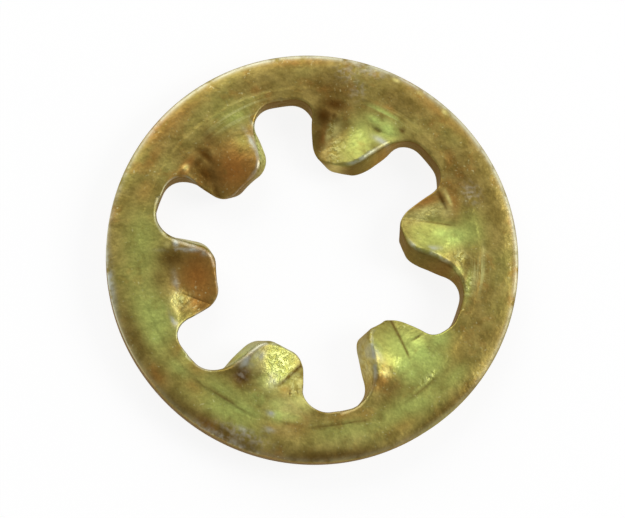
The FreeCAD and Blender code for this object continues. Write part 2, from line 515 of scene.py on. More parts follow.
PATCHES: tuple[Patch, ...] = (
    # First tooth, along +X
    *marks(Tint.GREEN, (1.86, 9, 0.4, 0.34, 0.8), (2.56, 10, 0.2, 0.36, 0.8)),
    *marks(
        Tint.LIME,
        (2.24, 8, 0.24, 0.16, 1.0), (2.48, 349, 0.05, 0.22, 0.6), (2.06, 10, 0.14, 0.1, 0.9),
        (2.28, 354, 0.08, 0.06, 0.8),
    ),
    *marks(
        Tint.AMBER,
        (2.36, 21, 0.13, 0.18, 0.8), (1.98, 26, 0.26, 0.09, 1.0), (2.35, 21, 0.06, 0.16, 1.0),
    ),
    *marks(
        Tint.GOLD,
        (1.86, 22, 0.24, 0.1, 0.75), (2.34, 23, 0.03, 0.14, 1.0), (2.695, 2, 0.014, 0.07, 1.0),
        (2.695, 354, 0.012, 0.1, 0.9), (2.21, 22, 0.07, 0.07, 0.6), (2.24, 19, 0.1, 0.1, 0.8),
        (2.28, 354, 0.05, 0.05, 0.6),
    ),
    *marks(
        Tint.BROWN,
        (2.24, 24, 0.04, 0.24, 1.0), (2.44, 359, 0.09, 0.14, 0.35), (1.52, 13, 0.08, 0.22, 0.3),
        (2.21, 0, 0.09, 0.08, 0.35), (1.63, 20, 0.06, 0.05, 0.6),
    ),
    *marks(
        Tint.PITTED,
        (2.31, 359.5, 0.1, 0.1, 0.8), (1.95, 21, 0.24, 0.1, 0.45), (2.48, 349, 0.05, 0.22, 0.7),
    ),
    *marks(Tint.STREAKED, (2.60, 355, 0.24, 0.28, 1.0)),
    *marks(Tint.BARE_AND_GLINT, (1.84, 3, 0.14, 0.04, 0.6)),
    # Second tooth
    *marks(Tint.GREEN, (1.95, 67, 0.46, 0.3, 0.9)),
    *marks(
        Tint.LIME,
        (2.36, 60, 0.18, 0.2, 1.0), (2.05, 70, 0.3, 0.14, 0.35), (2.58, 63, 0.018, 0.34, 1.0),
        (2.41, 65, 0.07, 0.16, 1.0),
    ),
    *marks(
        Tint.BROWN,
        (2.47, 82, 0.16, 0.3, 1.0), (2.27, 86, 0.2, 0.18, 1.0), (1.95, 87, 0.3, 0.13, 0.5),
        (2.24, 81, 0.14, 0.07, 0.5), (2.275, 63.2, 0.05, 0.1, 0.75), (2.48, 55, 0.05, 0.06, 0.9),
        (2.19, 85, 0.1, 0.08, 0.8), (2.29, 82, 0.08, 0.08, 0.8), (1.97, 59, 0.07, 0.13, 0.5),
        (1.83, 63, 0.05, 0.12, 0.35),
    ),
    *marks(Tint.AMBER, (1.98, 83.5, 0.34, 0.1, 0.9), (1.89, 85, 0.2, 0.08, 1.0)),
    *marks(
        Tint.GOLD,
        (1.95, 83, 0.14, 0.05, 0.7), (1.75, 84, 0.12, 0.06, 0.45), (2.07, 80, 0.12, 0.06, 0.8),
    ),
    *marks(Tint.PITTED, (2.06, 82, 0.14, 0.06, 0.7), (1.74, 79, 0.22, 0.1, 0.6)),
    *marks(Tint.STREAKED, (2.60, 62, 0.12, 0.4, 0.4)),
    *marks(Tint.BARE_AND_GLINT, (2.14, 60, 0.05, 0.12, 0.8)),
    # Third tooth
    *marks(Tint.AMBER, (1.85, 133, 0.42, 0.4, 1.0), (2.45, 146, 0.08, 0.24, 1.0)),
    *marks(
        Tint.BROWN,
        (2.32, 137.5, 0.24, 0.09, 1.0), (2.14, 143, 0.28, 0.18, 1.0), (2.34, 142, 0.12, 0.14, 0.9),
        (2.50, 132, 0.16, 0.14, 0.75), (2.22, 142, 0.1, 0.08, 0.9), (2.37, 136, 0.1, 0.07, 0.8),
        (1.97, 122, 0.12, 0.1, 0.25), (2.61, 135, 0.1, 0.12, 0.3),
    ),
    *marks(Tint.GOLD, (2.45, 146, 0.04, 0.06, 0.9)),
    *marks(Tint.GREEN, (2.56, 119, 0.2, 0.38, 0.6), (2.12, 122, 0.18, 0.12, 0.4)),
    *marks(Tint.STREAKED, (2.55, 118, 0.16, 0.42, 1.0)),
    *marks(Tint.BARE_AND_GLINT, (2.26, 114.5, 0.16, 0.03, 0.7), (2.05, 119, 0.2, 0.04, 0.8)),
    *marks(Tint.LIME, (2.52, 119, 0.1, 0.16, 0.3)),
    # Fourth tooth
    *marks(Tint.AMBER, (1.88, 191, 0.36, 0.42, 1.0), (2.02, 201, 0.14, 0.14, 0.8)),
    *marks(
        Tint.BROWN,
        (2.26, 182, 0.24, 0.19, 0.8), (1.92, 184, 0.3, 0.2, 0.35), (1.92, 205, 0.16, 0.1, 0.7),
        (2.49, 189, 0.1, 0.16, 0.5), (2.20, 197, 0.05, 0.05, 0.5), (2.26, 203, 0.05, 0.05, 0.5),
        (2.68, 211, 0.12, 0.2, 0.22), (2.23, 200, 0.06, 0.14, 0.8),
    ),
    *marks(
        Tint.BARE_AND_GLINT,
        (2.24, 191.5, 0.05, 0.14, 0.45), (2.47, 206, 0.03, 0.12, 0.8), (1.97, 179, 0.32, 0.03, 0.9),
        (2.45, 207, 0.05, 0.04, 0.9), (1.74, 180, 0.06, 0.05, 0.6), (2.20, 176, 0.05, 0.06, 1.0),
    ),
    *marks(
        Tint.GOLD,
        (2.28, 198, 0.1, 0.1, 1.0), (2.36, 201, 0.035, 0.17, 1.0), (2.40, 172.5, 0.03, 0.04, 0.9),
        (2.34, 199, 0.07, 0.07, 1.0), (2.32, 177, 0.05, 0.05, 1.0), (2.46, 207, 0.05, 0.05, 1.0),
    ),
    *marks(Tint.PITTED, (2.24, 199, 0.16, 0.12, 0.7)),
    *marks(Tint.GREEN, (2.72, 176, 0.3, 0.6, 0.8)),
    *marks(Tint.LIME, (2.54, 200, 0.06, 0.2, 0.5)),
    # Fifth tooth
    *marks(
        Tint.LIME,
        (1.90, 251, 0.42, 0.26, 0.8), (2.58, 257, 0.14, 0.16, 1.0), (2.72, 246, 0.12, 0.3, 0.6),
        (2.14, 249, 0.14, 0.14, 1.0), (2.61, 260, 0.08, 0.18, 1.0), (2.46, 257, 0.12, 0.22, 0.9),
        (2.44, 248, 0.1, 0.14, 0.8), (1.91, 240, 0.14, 0.06, 0.7), (2.35, 264, 0.12, 0.22, 0.7),
    ),
    *marks(Tint.PITTED, (1.80, 252, 0.34, 0.24, 0.85), (2.08, 261, 0.2, 0.1, 0.7)),
    *marks(
        Tint.BROWN,
        (2.26, 239, 0.17, 0.18, 1.0), (2.09, 244, 0.09, 0.1, 0.5), (2.61, 240, 0.1, 0.14, 0.3),
    ),
    *marks(Tint.MAUVE, (2.23, 238.5, 0.09, 0.09, 0.6)),
    *marks(Tint.AMBER, (2.18, 256, 0.07, 0.12, 1.0)),
    *marks(Tint.GREEN, (2.62, 238, 0.2, 0.6, 0.9)),
    *marks(
        Tint.GOLD,
        (2.44, 260, 0.14, 0.22, 0.7), (1.92, 240, 0.16, 0.05, 0.8), (2.15, 249, 0.12, 0.12, 0.5),
        (2.48, 259, 0.1, 0.14, 0.8), (2.09, 250, 0.1, 0.08, 0.7), (1.94, 243, 0.1, 0.08, 1.0),
        (2.35, 264, 0.09, 0.18, 0.6), (1.99, 244, 0.1, 0.12, 1.0), (2.02, 263, 0.06, 0.06, 1.0),
    ),
    *marks(Tint.STREAKED, (2.62, 236, 0.1, 0.36, 0.4)),
    *marks(
        Tint.BARE_AND_GLINT,
        (1.91, 240, 0.14, 0.05, 0.5), (2.03, 237, 0.12, 0.06, 0.9), (1.86, 242, 0.1, 0.04, 0.6),
        (2.11, 251, 0.1, 0.07, 0.6),
    ),
    # Sixth tooth
    *marks(
        Tint.GREEN,
        (1.96, 311, 0.44, 0.38, 1.0), (2.56, 314, 0.22, 0.56, 0.9), (1.79, 303, 0.26, 0.14, 1.0),
    ),
    *marks(
        Tint.LIME,
        (2.26, 317, 0.32, 0.28, 1.0), (2.32, 325, 0.22, 0.22, 0.8), (2.23, 309, 0.14, 0.2, 0.9),
        (2.39, 309, 0.12, 0.18, 0.8),
    ),
    *marks(Tint.GOLD, (2.17, 300, 0.06, 0.06, 0.9), (1.91, 298, 0.06, 0.08, 1.0)),
    *marks(Tint.AMBER, (2.24, 298.5, 0.09, 0.09, 0.9)),
    *marks(
        Tint.BROWN,
        (2.42, 299, 0.1, 0.16, 0.5), (1.82, 302, 0.17, 0.08, 0.22), (2.02, 316, 0.1, 0.05, 0.3),
        (2.24, 324, 0.1, 0.16, 0.35),
    ),
    *marks(Tint.PITTED, (2.62, 312, 0.05, 0.2, 0.5)),
    *marks(Tint.BARE_AND_GLINT, (1.81, 301, 0.17, 0.05, 0.25), (1.78, 299, 0.06, 0.1, 0.4)),
    # Ring: the passivate's own tones, with painted shade along the rim's lower side and painted glints on its
    # upper side
    *marks(
        Tint.BROWN,
        (2.70, 82, 0.24, 0.6, 0.65), (2.86, 62, 0.2, 0.5, 0.35), (2.68, 28, 0.22, 0.55, 0.5),
        (2.78, 102, 0.2, 0.4, 0.35), (2.62, 160, 0.12, 0.24, 0.3), (2.70, 345, 0.2, 0.5, 0.22),
        (3.14, 239, 0.1, 1.1, 0.6), (3.17, 275, 0.1, 1.1, 0.75), (3.16, 308, 0.09, 0.9, 0.75),
        (3.13, 340, 0.12, 0.6, 0.4), (3.10, 205, 0.1, 0.6, 0.5), (3.20, 340, 0.05, 0.5, 0.6),
        (3.18, 357, 0.05, 0.9, 0.6),
    ),
    *marks(
        Tint.MAUVE,
        (3.02, 80, 0.12, 0.16, 0.7), (3.15, 73, 0.08, 0.3, 0.8), (2.77, 75, 0.14, 0.1, 0.6),
        (2.72, 22, 0.12, 0.16, 0.7), (3.06, 248, 0.09, 0.4, 0.8), (3.22, 243, 0.05, 0.8, 0.9),
    ),
    *marks(
        Tint.AMBER,
        (3.10, 48, 0.1, 0.6, 0.45), (2.80, 260, 0.1, 0.4, 0.55), (2.60, 222, 0.12, 0.26, 0.7),
        (2.62, 280, 0.1, 0.34, 0.45), (2.84, 160, 0.14, 0.24, 0.5), (3.08, 135, 0.12, 0.9, 0.45),
        (2.69, 214, 0.12, 0.2, 0.7), (3.13, 218, 0.1, 0.18, 0.7), (2.84, 229, 0.1, 0.22, 0.8),
        (3.17, 238, 0.09, 0.2, 0.7), (2.71, 261, 0.12, 0.2, 0.7), (2.32, 268, 0.1, 0.22, 0.7),
        (2.97, 297, 0.12, 0.26, 0.7), (2.63, 325, 0.14, 0.22, 0.7), (2.98, 150, 0.1, 0.3, 0.6),
        (3.14, 94, 0.07, 0.5, 0.5), (3.21, 140, 0.05, 0.5, 0.5),
    ),
    *marks(
        Tint.LIME,
        (2.68, 203, 0.26, 0.56, 0.5), (2.86, 240, 0.14, 0.6, 0.4), (2.80, 278, 0.2, 0.6, 0.4),
        (2.80, 304, 0.18, 0.6, 0.4), (2.73, 244, 0.09, 0.22, 0.7), (2.55, 259, 0.07, 0.14, 0.9),
        (2.83, 208, 0.12, 0.14, 0.6), (2.59, 219, 0.1, 0.16, 0.5), (2.71, 279, 0.08, 0.26, 0.5),
        (2.80, 220, 0.12, 0.22, 0.5),
    ),
    *marks(
        Tint.GREEN,
        (2.80, 240, 0.24, 0.6, 0.7), (2.78, 204, 0.24, 0.6, 0.7), (2.80, 300, 0.2, 0.9, 0.6),
        (2.91, 319, 0.14, 0.26, 0.8),
    ),
    *marks(
        Tint.BARE_AND_GLINT,
        (2.60, 254, 0.03, 0.06, 0.9), (2.99, 248, 0.03, 0.1, 0.9), (2.90, 254, 0.03, 0.06, 0.8),
        (2.86, 255, 0.03, 0.08, 0.6), (3.19, 75, 0.05, 0.12, 0.8), (3.19, 75, 0.06, 0.08, 1.0),
        (3.25, 188, 0.06, 0.5, 1.0),
    ),
    *marks(
        Tint.GOLD,
        (2.80, 260, 0.09, 0.18, 0.35), (2.61, 260, 0.06, 0.12, 0.5), (2.97, 280, 0.1, 0.3, 0.25),
        (3.18, 48, 0.04, 0.05, 1.0), (3.18, 57, 0.03, 0.06, 0.9), (3.17, 65, 0.03, 0.06, 0.9),
    ),
    # The clamping pad's mark: painted shade along its step on the lower side, and a painted highlight on its
    # upper side
    *marks(
        Tint.BROWN,
        (2.695, 238, 0.02, 0.5, 0.8), (2.695, 278, 0.02, 0.62, 0.7), (2.695, 308, 0.02, 0.4, 0.6),
    ),
    *marks(Tint.LIME, (2.68, 117, 0.018, 0.32, 0.7)),
)

# Tints on the cut walls, in place of their painted brown shade: partly the walls' own tone, partly painted
# light on walls that face the light.
WALL_PATCHES: tuple[Patch, ...] = (
    *marks(Tint.AMBER, (1.95, 56, 0.4, 0.3, 0.8), (2.00, 297, 0.5, 0.3, 0.9), (2.00, 357, 0.5, 0.4, 0.45)),
    *marks(
        Tint.GOLD,
        (1.59, 76, 0.25, 0.16, 0.8), (1.83, 299, 0.3, 0.16, 0.9), (1.90, 298, 0.4, 0.25, 0.9),
    ),
    *marks(Tint.GREEN, (2.00, 117, 0.5, 0.3, 1.0), (1.95, 176, 0.5, 0.3, 1.0), (2.00, 236, 0.5, 0.3, 1.0)),
    *marks(Tint.LIME, (1.95, 117, 0.3, 0.3, 0.9), (1.95, 237, 0.3, 0.3, 0.6)),
    *marks(Tint.PITTED, (1.95, 117, 0.4, 0.3, 1.0), (2.00, 296, 0.5, 0.3, 0.4)),
    *marks(
        Tint.BARE_AND_GLINT,
        (1.92, 175, 0.4, 0.3, 0.8), (2.00, 236, 0.5, 0.3, 0.45), (1.80, 300, 0.22, 0.25, 0.5),
    ),
)

# Dents and bulges in the upper side. A dent's last number is the brown shade painted in its hollow.
DENTS: tuple[Dent, ...] = (
    Dent(2.28, seen(61.6), 0.10, 0.035, -89.0, 0.020, 0.5),
    Dent(2.126, seen(321.8), 0.11, 0.014, 70.0, 0.012, 0.9),
    Dent(2.20, seen(298.0), 0.06, 0.06, 0.0, -0.032, 0.0),
    Dent(2.40, seen(146.5), 0.05, 0.07, 0.0, -0.022, 0.0),
    Dent(2.37, seen(359), 0.07, 0.07, 0.0, -0.012, 0.0),
    Dent(2.10, seen(202.0), 0.12, 0.020, 20.0, 0.010, 0.8),
    Dent(2.24, seen(261.0), 0.06, 0.020, 0.0, 0.012, 0.9),
    Dent(2.19, seen(264.0), 0.05, 0.014, 15.0, 0.010, 0.8),
)


@dataclass(frozen=True)
class Side:
    """One side of the washer: full towards its azimuth, fading away from it."""

    azimuth: float
    base: float
    swing: float

    def share(self, azimuth: np.ndarray) -> np.ndarray:
        """The base plus the swing times the cosine of the angle off the side, eased between 0 and 1."""
        return smooth_step(self.base + self.swing * np.cos(azimuth - math.radians(self.azimuth)))


@dataclass(frozen=True)
class WearAndPaintedLight:
    """Where the cut edges and the rim carry painted shade, or are rubbed or bare with a painted highlight.

    A pair of numbers is where an easing starts and how far it runs, or for a line the middle and the width
    of a bell curve. Heights are above the middle of the strip. A lip is found by its share of cut wall.
    """

    facing: tuple[float, float] = (-0.1, 0.5)
    wall: tuple[float, float] = (0.45, 0.4)
    # Painted brown shade on the cut walls.
    wall_shade: float = 0.85
    lip_share: float = 0.4
    lip_spread: float = 0.26
    lip_least: float = 0.02
    # Lips that stand proud, and all lips on the glint side, are bare with a painted highlight.
    proud: tuple[float, float] = (0.22, 0.12)
    proud_strength: float = 0.8
    glint_side: Side = Side(seen(200), 0.3, 0.7)
    glint_side_height: tuple[float, float] = (0.0, 0.1)
    glint_side_strength: float = 0.5
    rim_inset: tuple[float, float] = (-0.03, 0.02)
    rim_below: tuple[float, float] = (0.15, -0.05)
    # Painted brown shade on the outer wall below the rim.
    outer_wall_shade: float = 0.9
    rim_radius: float = 3.1
    # The rubbed line on the lit side of the rim is also a painted highlight.
    lit: Side = Side(seen(68), 0.35, 0.8)
    lit_line: tuple[float, float] = (0.160, 0.016)
    lit_least: float = 0.15
    far: Side = Side(seen(188), -5.0, 6.0)
    far_line: tuple[float, float] = (0.138, 0.014)

    def lips(self, cut: np.ndarray, height: np.ndarray, azimuth: np.ndarray) -> np.ndarray:
        """How bare the lips are, as bare metal with a painted highlight: those that stand proud, and all of
        them on the glint side.

        Args:
            cut: Share of cut wall.
            height: Height above the middle of the strip.
            azimuth: Angle round the washer, in radians.

        Returns:
            The share of bare metal and painted highlight.
        """
        proud = self.proud_strength * eased(height, *self.proud)
        glint_side = self.glint_side_strength * self.glint_side.share(azimuth) * eased(height, *self.glint_side_height)
        lip = bell(cut, self.lip_share, self.lip_spread) * (cut > self.lip_least)
        return lip * np.maximum(proud, glint_side)

    def rim(self, radius: np.ndarray, height: np.ndarray, azimuth: np.ndarray) -> np.ndarray:
        """The rubbed lines on the rolled outer edge, the one towards the lit side also a painted highlight: a
        bell curve by height on each of two sides.

        Args:
            radius: Distance from the axis.
            height: Height above the middle of the strip.
            azimuth: Angle round the washer, in radians.

        Returns:
            The share of rubbed metal and painted highlight.
        """
        lit = self.lit_least + (1 - self.lit_least) * self.lit.share(azimuth)
        near = bell(height, *self.lit_line) * lit
        far = bell(height, *self.far_line) * self.far.share(azimuth)
        return np.maximum(near, far) * (radius > self.rim_radius)


@dataclass
class LockWasher:
    """The whole washer: one closed skin over the ring and its teeth.

    The first tooth lies along +X, the others follow anticlockwise.
    """

    strip: Strip = field(default_factory=Strip)
    blank: ToothBlank = field(default_factory=ToothBlank)
    wear_and_painted_light: WearAndPaintedLight = field(default_factory=WearAndPaintedLight)
    twists: tuple[Twist, ...] = (
        Twist(
            bend_x=2.30, root_softness=0.16, tip_drop=0.23, skew=-0.06, bow=0.028, sharp_bend=0.05, painted_shade=0.6,
            ahead_root=0.06, ahead_tip=0.287, ahead_width=0.93, ahead_taper=0.205,
            behind_root=0.052, behind_tip=0.515, behind_width=0.957, behind_taper=0.105,
        ),
        Twist(
            tip_drop=0.242, shorter=-0.02, skew=-0.026, bow=0.028, aside=0.042, sharp_bend=0.07, painted_shade=0.1,
            ahead_root=0.136, ahead_tip=0.407, ahead_width=0.985, ahead_taper=0.13,
            behind_root=0.094, behind_tip=0.473, behind_width=1.05, behind_taper=0.266,
        ),
        Twist(
            tip_drop=0.207, shorter=-0.017, skew=-0.023, aside=0.018, sharp_bend=0.06,
            painted_shade=0.7, painted_shade_width=0.07, ahead_root=0.28, ahead_tip=0.515, ahead_taper=0.024,
            behind_root=0.067, behind_tip=0.383, behind_width=1.026, behind_taper=0.048,
        ),
        Twist(
            bend_x=2.30, tip_drop=0.20, skew=0.054, aside=0.037,
            ahead_root=0.16, ahead_tip=0.535, ahead_width=0.994, ahead_taper=0.04,
            behind_root=0.218, behind_tip=0.448, behind_width=1.07, behind_taper=0.083,
        ),
        Twist(
            tip_drop=0.206, shorter=0.020, skew=0.064, bow=0.014, aside=0.011, painted_shade=1.0, painted_shade_width=0.042,
            ahead_root=0.17, ahead_tip=0.453, ahead_width=0.886, ahead_taper=-0.06,
            behind_root=0.121, behind_tip=0.465, behind_width=0.99, behind_taper=0.198,
        ),
        Twist(
            bend_x=2.30, tip_drop=0.248, shorter=0.012, skew=0.10, aside=0.017, painted_shade_width=0.026,
            ahead_root=0.094, ahead_tip=0.256, ahead_width=0.832, ahead_taper=0.182,
            behind_root=0.209, behind_tip=0.517, behind_width=0.954, behind_taper=0.226,
        ),
    )
    join_radius: float = 2.60
    upper_rows: int = 44
    lower_rows: int = 20
    lip_rows: int = 5
    wall_rows: int = 4
    roll_rows: int = 9
    rim_rows: int = 3
    break_rows: int = 3
    under_rows: int = 5
    pad_mark_rows: tuple[float, ...] = (-0.045, -0.02, 0.0, 0.5, 1.0, 1.4, 2.4, 3.6, 4.8)
    raised_lip_start: float = 0.1
    raised_lip_run: float = 0.25
    half_height: float = 0.3755
    punch_offset: tuple[float, float] = (-0.0615, 0.0250)
    wave_count: int = 40
    wave_height: float = 0.0022
    wave_length: tuple[float, float] = (0.25, 1.6)
    wave_on_wall: float = 0.5
    dent_facing: float = 0.2
    still_rim: float = 0.12
    seed: int = 11

    def half_stations(self, twist: Twist) -> tuple[np.ndarray, np.ndarray]:
        """Picks the outline's points for half a tooth and half a gap, closer together at the creases.

        The distance between points is the inverse of a density: one, plus a bell curve where the sharp
        crease of either face leaves the outline.

        Args:
            twist: The tooth's twist.

        Returns:
            The points and the directions into the metal.
        """
        points, normals = self.blank.outline(self.strip)
        travel = np.r_[0.0, np.cumsum(np.hypot(*np.diff(points, axis=0).T))]
        lean, spacing, _ = twist.creases(points[:, 0], 0 * points[:, 0])
        mitre = self.strip.half_thickness * np.tan(lean / 2)
        gap = twist.own_width(points[:, 0], points[:, 1]) - (spacing - mitre)
        on_tooth = points[:, 0] < twist.bend_x - twist.root_softness
        exit_travel = travel[np.argmin(np.where(on_tooth, np.abs(gap), np.inf))]
        near = bell(travel, exit_travel, self.blank.crease_gather_width)
        density = 1 + self.blank.crease_gather * near
        count = np.r_[0.0, np.cumsum((density[1:] + density[:-1]) / 2 * np.diff(travel))]
        wanted = np.linspace(0.0, count[-1], self.blank.stations + 1)
        at = np.interp(wanted, count, travel)
        picked = np.stack([np.interp(at, travel, column) for column in np.hstack([points, normals]).T], 1)
        return picked[:, :2], picked[:, 2:]

    def stations(self, twist: Twist) -> tuple[np.ndarray, np.ndarray]:
        """The outline's points over one whole tooth, from gap middle to gap middle, the last left out.

        Args:
            twist: The tooth's twist.

        Returns:
            The points and the directions into the metal.
        """
        points, normals = self.half_stations(twist)
        flip = np.array([1.0, -1.0])
        whole = np.vstack([points[::-1] * flip, points[1:-1]])
        whole_normals = np.vstack([normals[::-1] * flip, normals[1:-1]])
        return whole, whole_normals

    def lip_radius(self, points: np.ndarray, twist: Twist) -> np.ndarray:
        """Radius of the upper lip at each station: largest along the flank that is bent up.

        Args:
            points: The stations, distance along the tooth and from its middle.
            twist: The tooth's twist.

        Returns:
            The radii.
        """
        behind = eased(-points[:, 1], 0.0, self.raised_lip_run)
        bent = eased(twist.bend_x + self.raised_lip_start - points[:, 0], 0.0, self.raised_lip_run)
        return self.strip.upper_lip + (self.strip.raised_lip - self.strip.upper_lip) * behind * bent

    def field_rows(
        self, twist: Twist, upper: bool, rows: int, lip: np.ndarray | float
    ) -> tuple[np.ndarray, np.ndarray]:
        """Lines over one face from just inside the outline to the join circle, in the flat strip.

        On the tooth a line follows the creases as far as the bend line, and from there it runs straight
        out. Points are spread evenly over its length.

        Args:
            twist: The tooth's twist.
            upper: True for the upper face.
            rows: Number of points on a line.
            lip: How far inside the outline the lines start.

        Returns:
            The points' distances from the axis along the tooth and from its middle, row by row.
        """
        points, normals = self.stations(twist)
        start = points + np.broadcast_to(lip, len(points))[:, None] * normals
        x0, s0 = start[:, 0], start[:, 1]
        on_tooth = np.abs(points[:, 1]) <= twist.bend_half_width
        first = np.where(on_tooth, np.maximum(twist.bend_x - x0, 0.0), 0.0)
        half = self.strip.half_thickness
        knee_x = np.where(first > 0, twist.bend_x, x0)
        knee_s = np.where(first > 0, twist.crease_line(x0, s0, x0 + first, half, upper), s0)
        second = self.join_radius - np.hypot(knee_x, knee_s)
        run = np.linspace(0.0, 1.0, rows)[:, None] * (first + second)
        near_x = x0 + np.minimum(run, first)
        near_s = np.where(first > 0, twist.crease_line(x0 + 0 * run, s0 + 0 * run, near_x, half, upper), s0)
        beyond = np.maximum(run - first, 0.0)
        scale = 1 + beyond / np.hypot(knee_x, knee_s)
        out = run > first
        return np.where(out, knee_x * scale, near_x), np.where(out, knee_s * scale, near_s)

    def ring_profile(self) -> tuple[np.ndarray, np.ndarray]:
        """The ring's section from the join circle over the rolled outer edge and back along the underside.

        The roll is a quarter of an ellipse, the lower edge a quarter of a circle.

        Returns:
            Radii and heights.
        """
        strip = self.strip
        top = strip.half_thickness
        rim = top - strip.pad_mark_depth
        mark = np.array(self.pad_mark_rows)
        radii = [strip.pad_mark_radius + strip.pad_mark_width * mark]
        heights = [top - strip.pad_mark_depth * smooth_step(mark)]
        angle = np.linspace(0.0, math.pi / 2, self.roll_rows + 1)
        radii.append(strip.roll_start + (strip.outer_radius - strip.roll_start) * np.sin(angle))
        heights.append(rim - strip.roll_drop * (1 - np.cos(angle)))
        low = -top + strip.lower_edge_break
        radii.append(np.full(self.rim_rows, strip.outer_radius))
        heights.append(np.linspace(rim - strip.roll_drop, low, self.rim_rows + 1)[1:])
        corner = np.linspace(0.0, math.pi / 2, self.break_rows + 1)[1:]
        radii.append(strip.outer_radius - strip.lower_edge_break * (1 - np.cos(corner)))
        heights.append(low - strip.lower_edge_break * np.sin(corner))
        foot = strip.outer_radius - strip.lower_edge_break
        radii.append(np.linspace(foot, self.join_radius, self.under_rows + 2)[1:-1])
        heights.append(np.full(self.under_rows, -top))
        return np.concatenate(radii), np.concatenate(heights)

    def sector(self, twist: Twist) -> tuple[np.ndarray, np.ndarray, np.ndarray]:
        """The skin over one tooth, as rows that run once round the section.

        Rows start at the foot of the upper lip, cross the upper face, go round the rim, come back under
        the lower face and climb the cut wall.

        Args:
            twist: The tooth's twist.

        Returns:
            The points, rows by stations by three, and each point's share of cut wall and of painted crease
            shade.
        """
        strip = self.strip
        half = strip.half_thickness
        points, normals = self.stations(twist)
        upper_radius = self.lip_radius(points, twist)
        lower_radius = np.full(len(points), strip.lower_lip)

        def lip(radius: np.ndarray, sign: float, rows: int) -> tuple[np.ndarray, np.ndarray]:
            """A quarter circle from the wall to the face, given as insets and levels."""
            angle = np.linspace(0.0, math.pi / 2, rows + 1)[:-1, None]
            return radius * (1 - np.cos(angle)), sign * (half - radius + radius * np.sin(angle))

        def edge_rows(inset: np.ndarray, level: np.ndarray) -> np.ndarray:
            """Points of the lip or wall rows, from their insets and levels."""
            at = points[None] + inset[..., None] * normals[None]
            return twist.place(at[..., 0], at[..., 1], level, half)

        upper_lip = edge_rows(*lip(upper_radius, 1.0, self.lip_rows))
        lower_lip = edge_rows(*lip(lower_radius, -1.0, self.lip_rows - 1))[::-1]
        climb = np.linspace(0.0, 1.0, self.wall_rows + 2)[1:-1, None]
        wall_level = -half + lower_radius + climb * (2 * half - lower_radius - upper_radius)
        wall = edge_rows(0 * wall_level, wall_level)

        def face_rows(upper: bool, rows: int, radius: np.ndarray) -> np.ndarray:
            """Points of the upper or lower face as far as the join circle."""
            x, s = self.field_rows(twist, upper, rows, radius)
            return twist.place(x, s, np.full(x.shape, half if upper else -half), half)

        top = face_rows(True, self.upper_rows, upper_radius)
        under = face_rows(False, self.lower_rows, lower_radius)[::-1]
        top_angle = np.arctan2(top[-1, :, 1], top[-1, :, 0])
        under_angle = np.arctan2(under[0, :, 1], under[0, :, 0])
        radii, heights = self.ring_profile()
        way = np.linspace(0.0, 1.0, len(radii))[:, None]
        angle = top_angle + (under_angle - top_angle) * smooth_step(way)
        ring = np.stack([radii[:, None] * np.cos(angle), radii[:, None] * np.sin(angle),
                         heights[:, None] + 0 * angle], -1)
        rows = [upper_lip, top, ring, under, lower_lip, wall]
        easing = np.linspace(1.0, 0.0, self.lip_rows + 1)[:-1, None]
        shares = [easing, 0.0, 0.0, 0.0, easing[:0:-1], 1.0]
        cut = np.concatenate([np.broadcast_to(share, block.shape[:2]) for block, share in zip(rows, shares)])
        # Painted brown shade along the sharp crease of the upper face.
        painted_shade = np.zeros(cut.shape)
        first = len(upper_lip)
        x, s = self.field_rows(twist, True, self.upper_rows, upper_radius)
        painted_shade[first:first + self.upper_rows] = twist.crease_painted_shade(x, s, half)
        return np.concatenate(rows), cut, painted_shade

    def grid(self) -> tuple[np.ndarray, np.ndarray, np.ndarray]:
        """The skin over the whole washer: a sector for each tooth, turned to its place.

        Returns:
            The points and their shares of cut wall and of painted crease shade.
        """
        skin, cuts, painted_shades = [], [], []
        for tooth, twist in enumerate(self.twists):
            sector, cut, painted_shade = self.sector(twist)
            angle = 2 * math.pi * tooth / self.blank.count
            turn = np.array([[math.cos(angle), math.sin(angle), 0.0],
                             [-math.sin(angle), math.cos(angle), 0.0],
                             [0.0, 0.0, 1.0]])
            skin.append(sector @ turn)
            cuts.append(cut)
            painted_shades.append(painted_shade)
        return np.concatenate(skin, axis=1), np.concatenate(cuts, axis=1), np.concatenate(painted_shades, axis=1)

    @staticmethod
    def normals(points: np.ndarray) -> np.ndarray:
        """Directions square to the skin: the cross product of its two running directions, made unit long.

        Args:
            points: The skin's points, closed in both directions.

        Returns:
            The outward directions.
        """
        round_ = np.roll(points, -1, 1) - np.roll(points, 1, 1)
        over = np.roll(points, -1, 0) - np.roll(points, 1, 0)
        out = np.cross(over, round_)
        return out / np.maximum(np.linalg.norm(out, axis=-1, keepdims=True), 1e-12)

    def waves(self, points: np.ndarray) -> np.ndarray:
        """The slight unevenness of a tumbled stamping: a sum of sine waves in seeded directions.

        Args:
            points: The skin's points.

        Returns:
            The height of the waves at each point.
        """
        rng = np.random.default_rng(self.seed)
        direction = rng.normal(size=(self.wave_count, 3))
        direction /= np.linalg.norm(direction, axis=1, keepdims=True)
        length = rng.uniform(*self.wave_length, size=self.wave_count)
        phase = rng.uniform(0.0, 2 * math.pi, size=self.wave_count)
        height = np.zeros(points.shape[:-1])
        for k, wave, start in zip(direction, length, phase):
            height += wave * np.sin(points @ k * (2 * math.pi / wave) + start)
        return height * self.wave_height / math.sqrt(self.wave_count)

    def shifted(self, points: np.ndarray) -> np.ndarray:
        """Moves the teeth and the hole off centre, as this washer was punched, fading out before the rim.

        Args:
            points: The skin's points.

        Returns:
            The moved points.
        """
        radius = np.hypot(points[..., 0], points[..., 1])
        start, end = self.join_radius, self.strip.outer_radius - self.strip.lower_edge_break
        weight = 1 - eased(radius, start, end - start)
        return points + weight[..., None] * np.array([*self.punch_offset, 0.0])

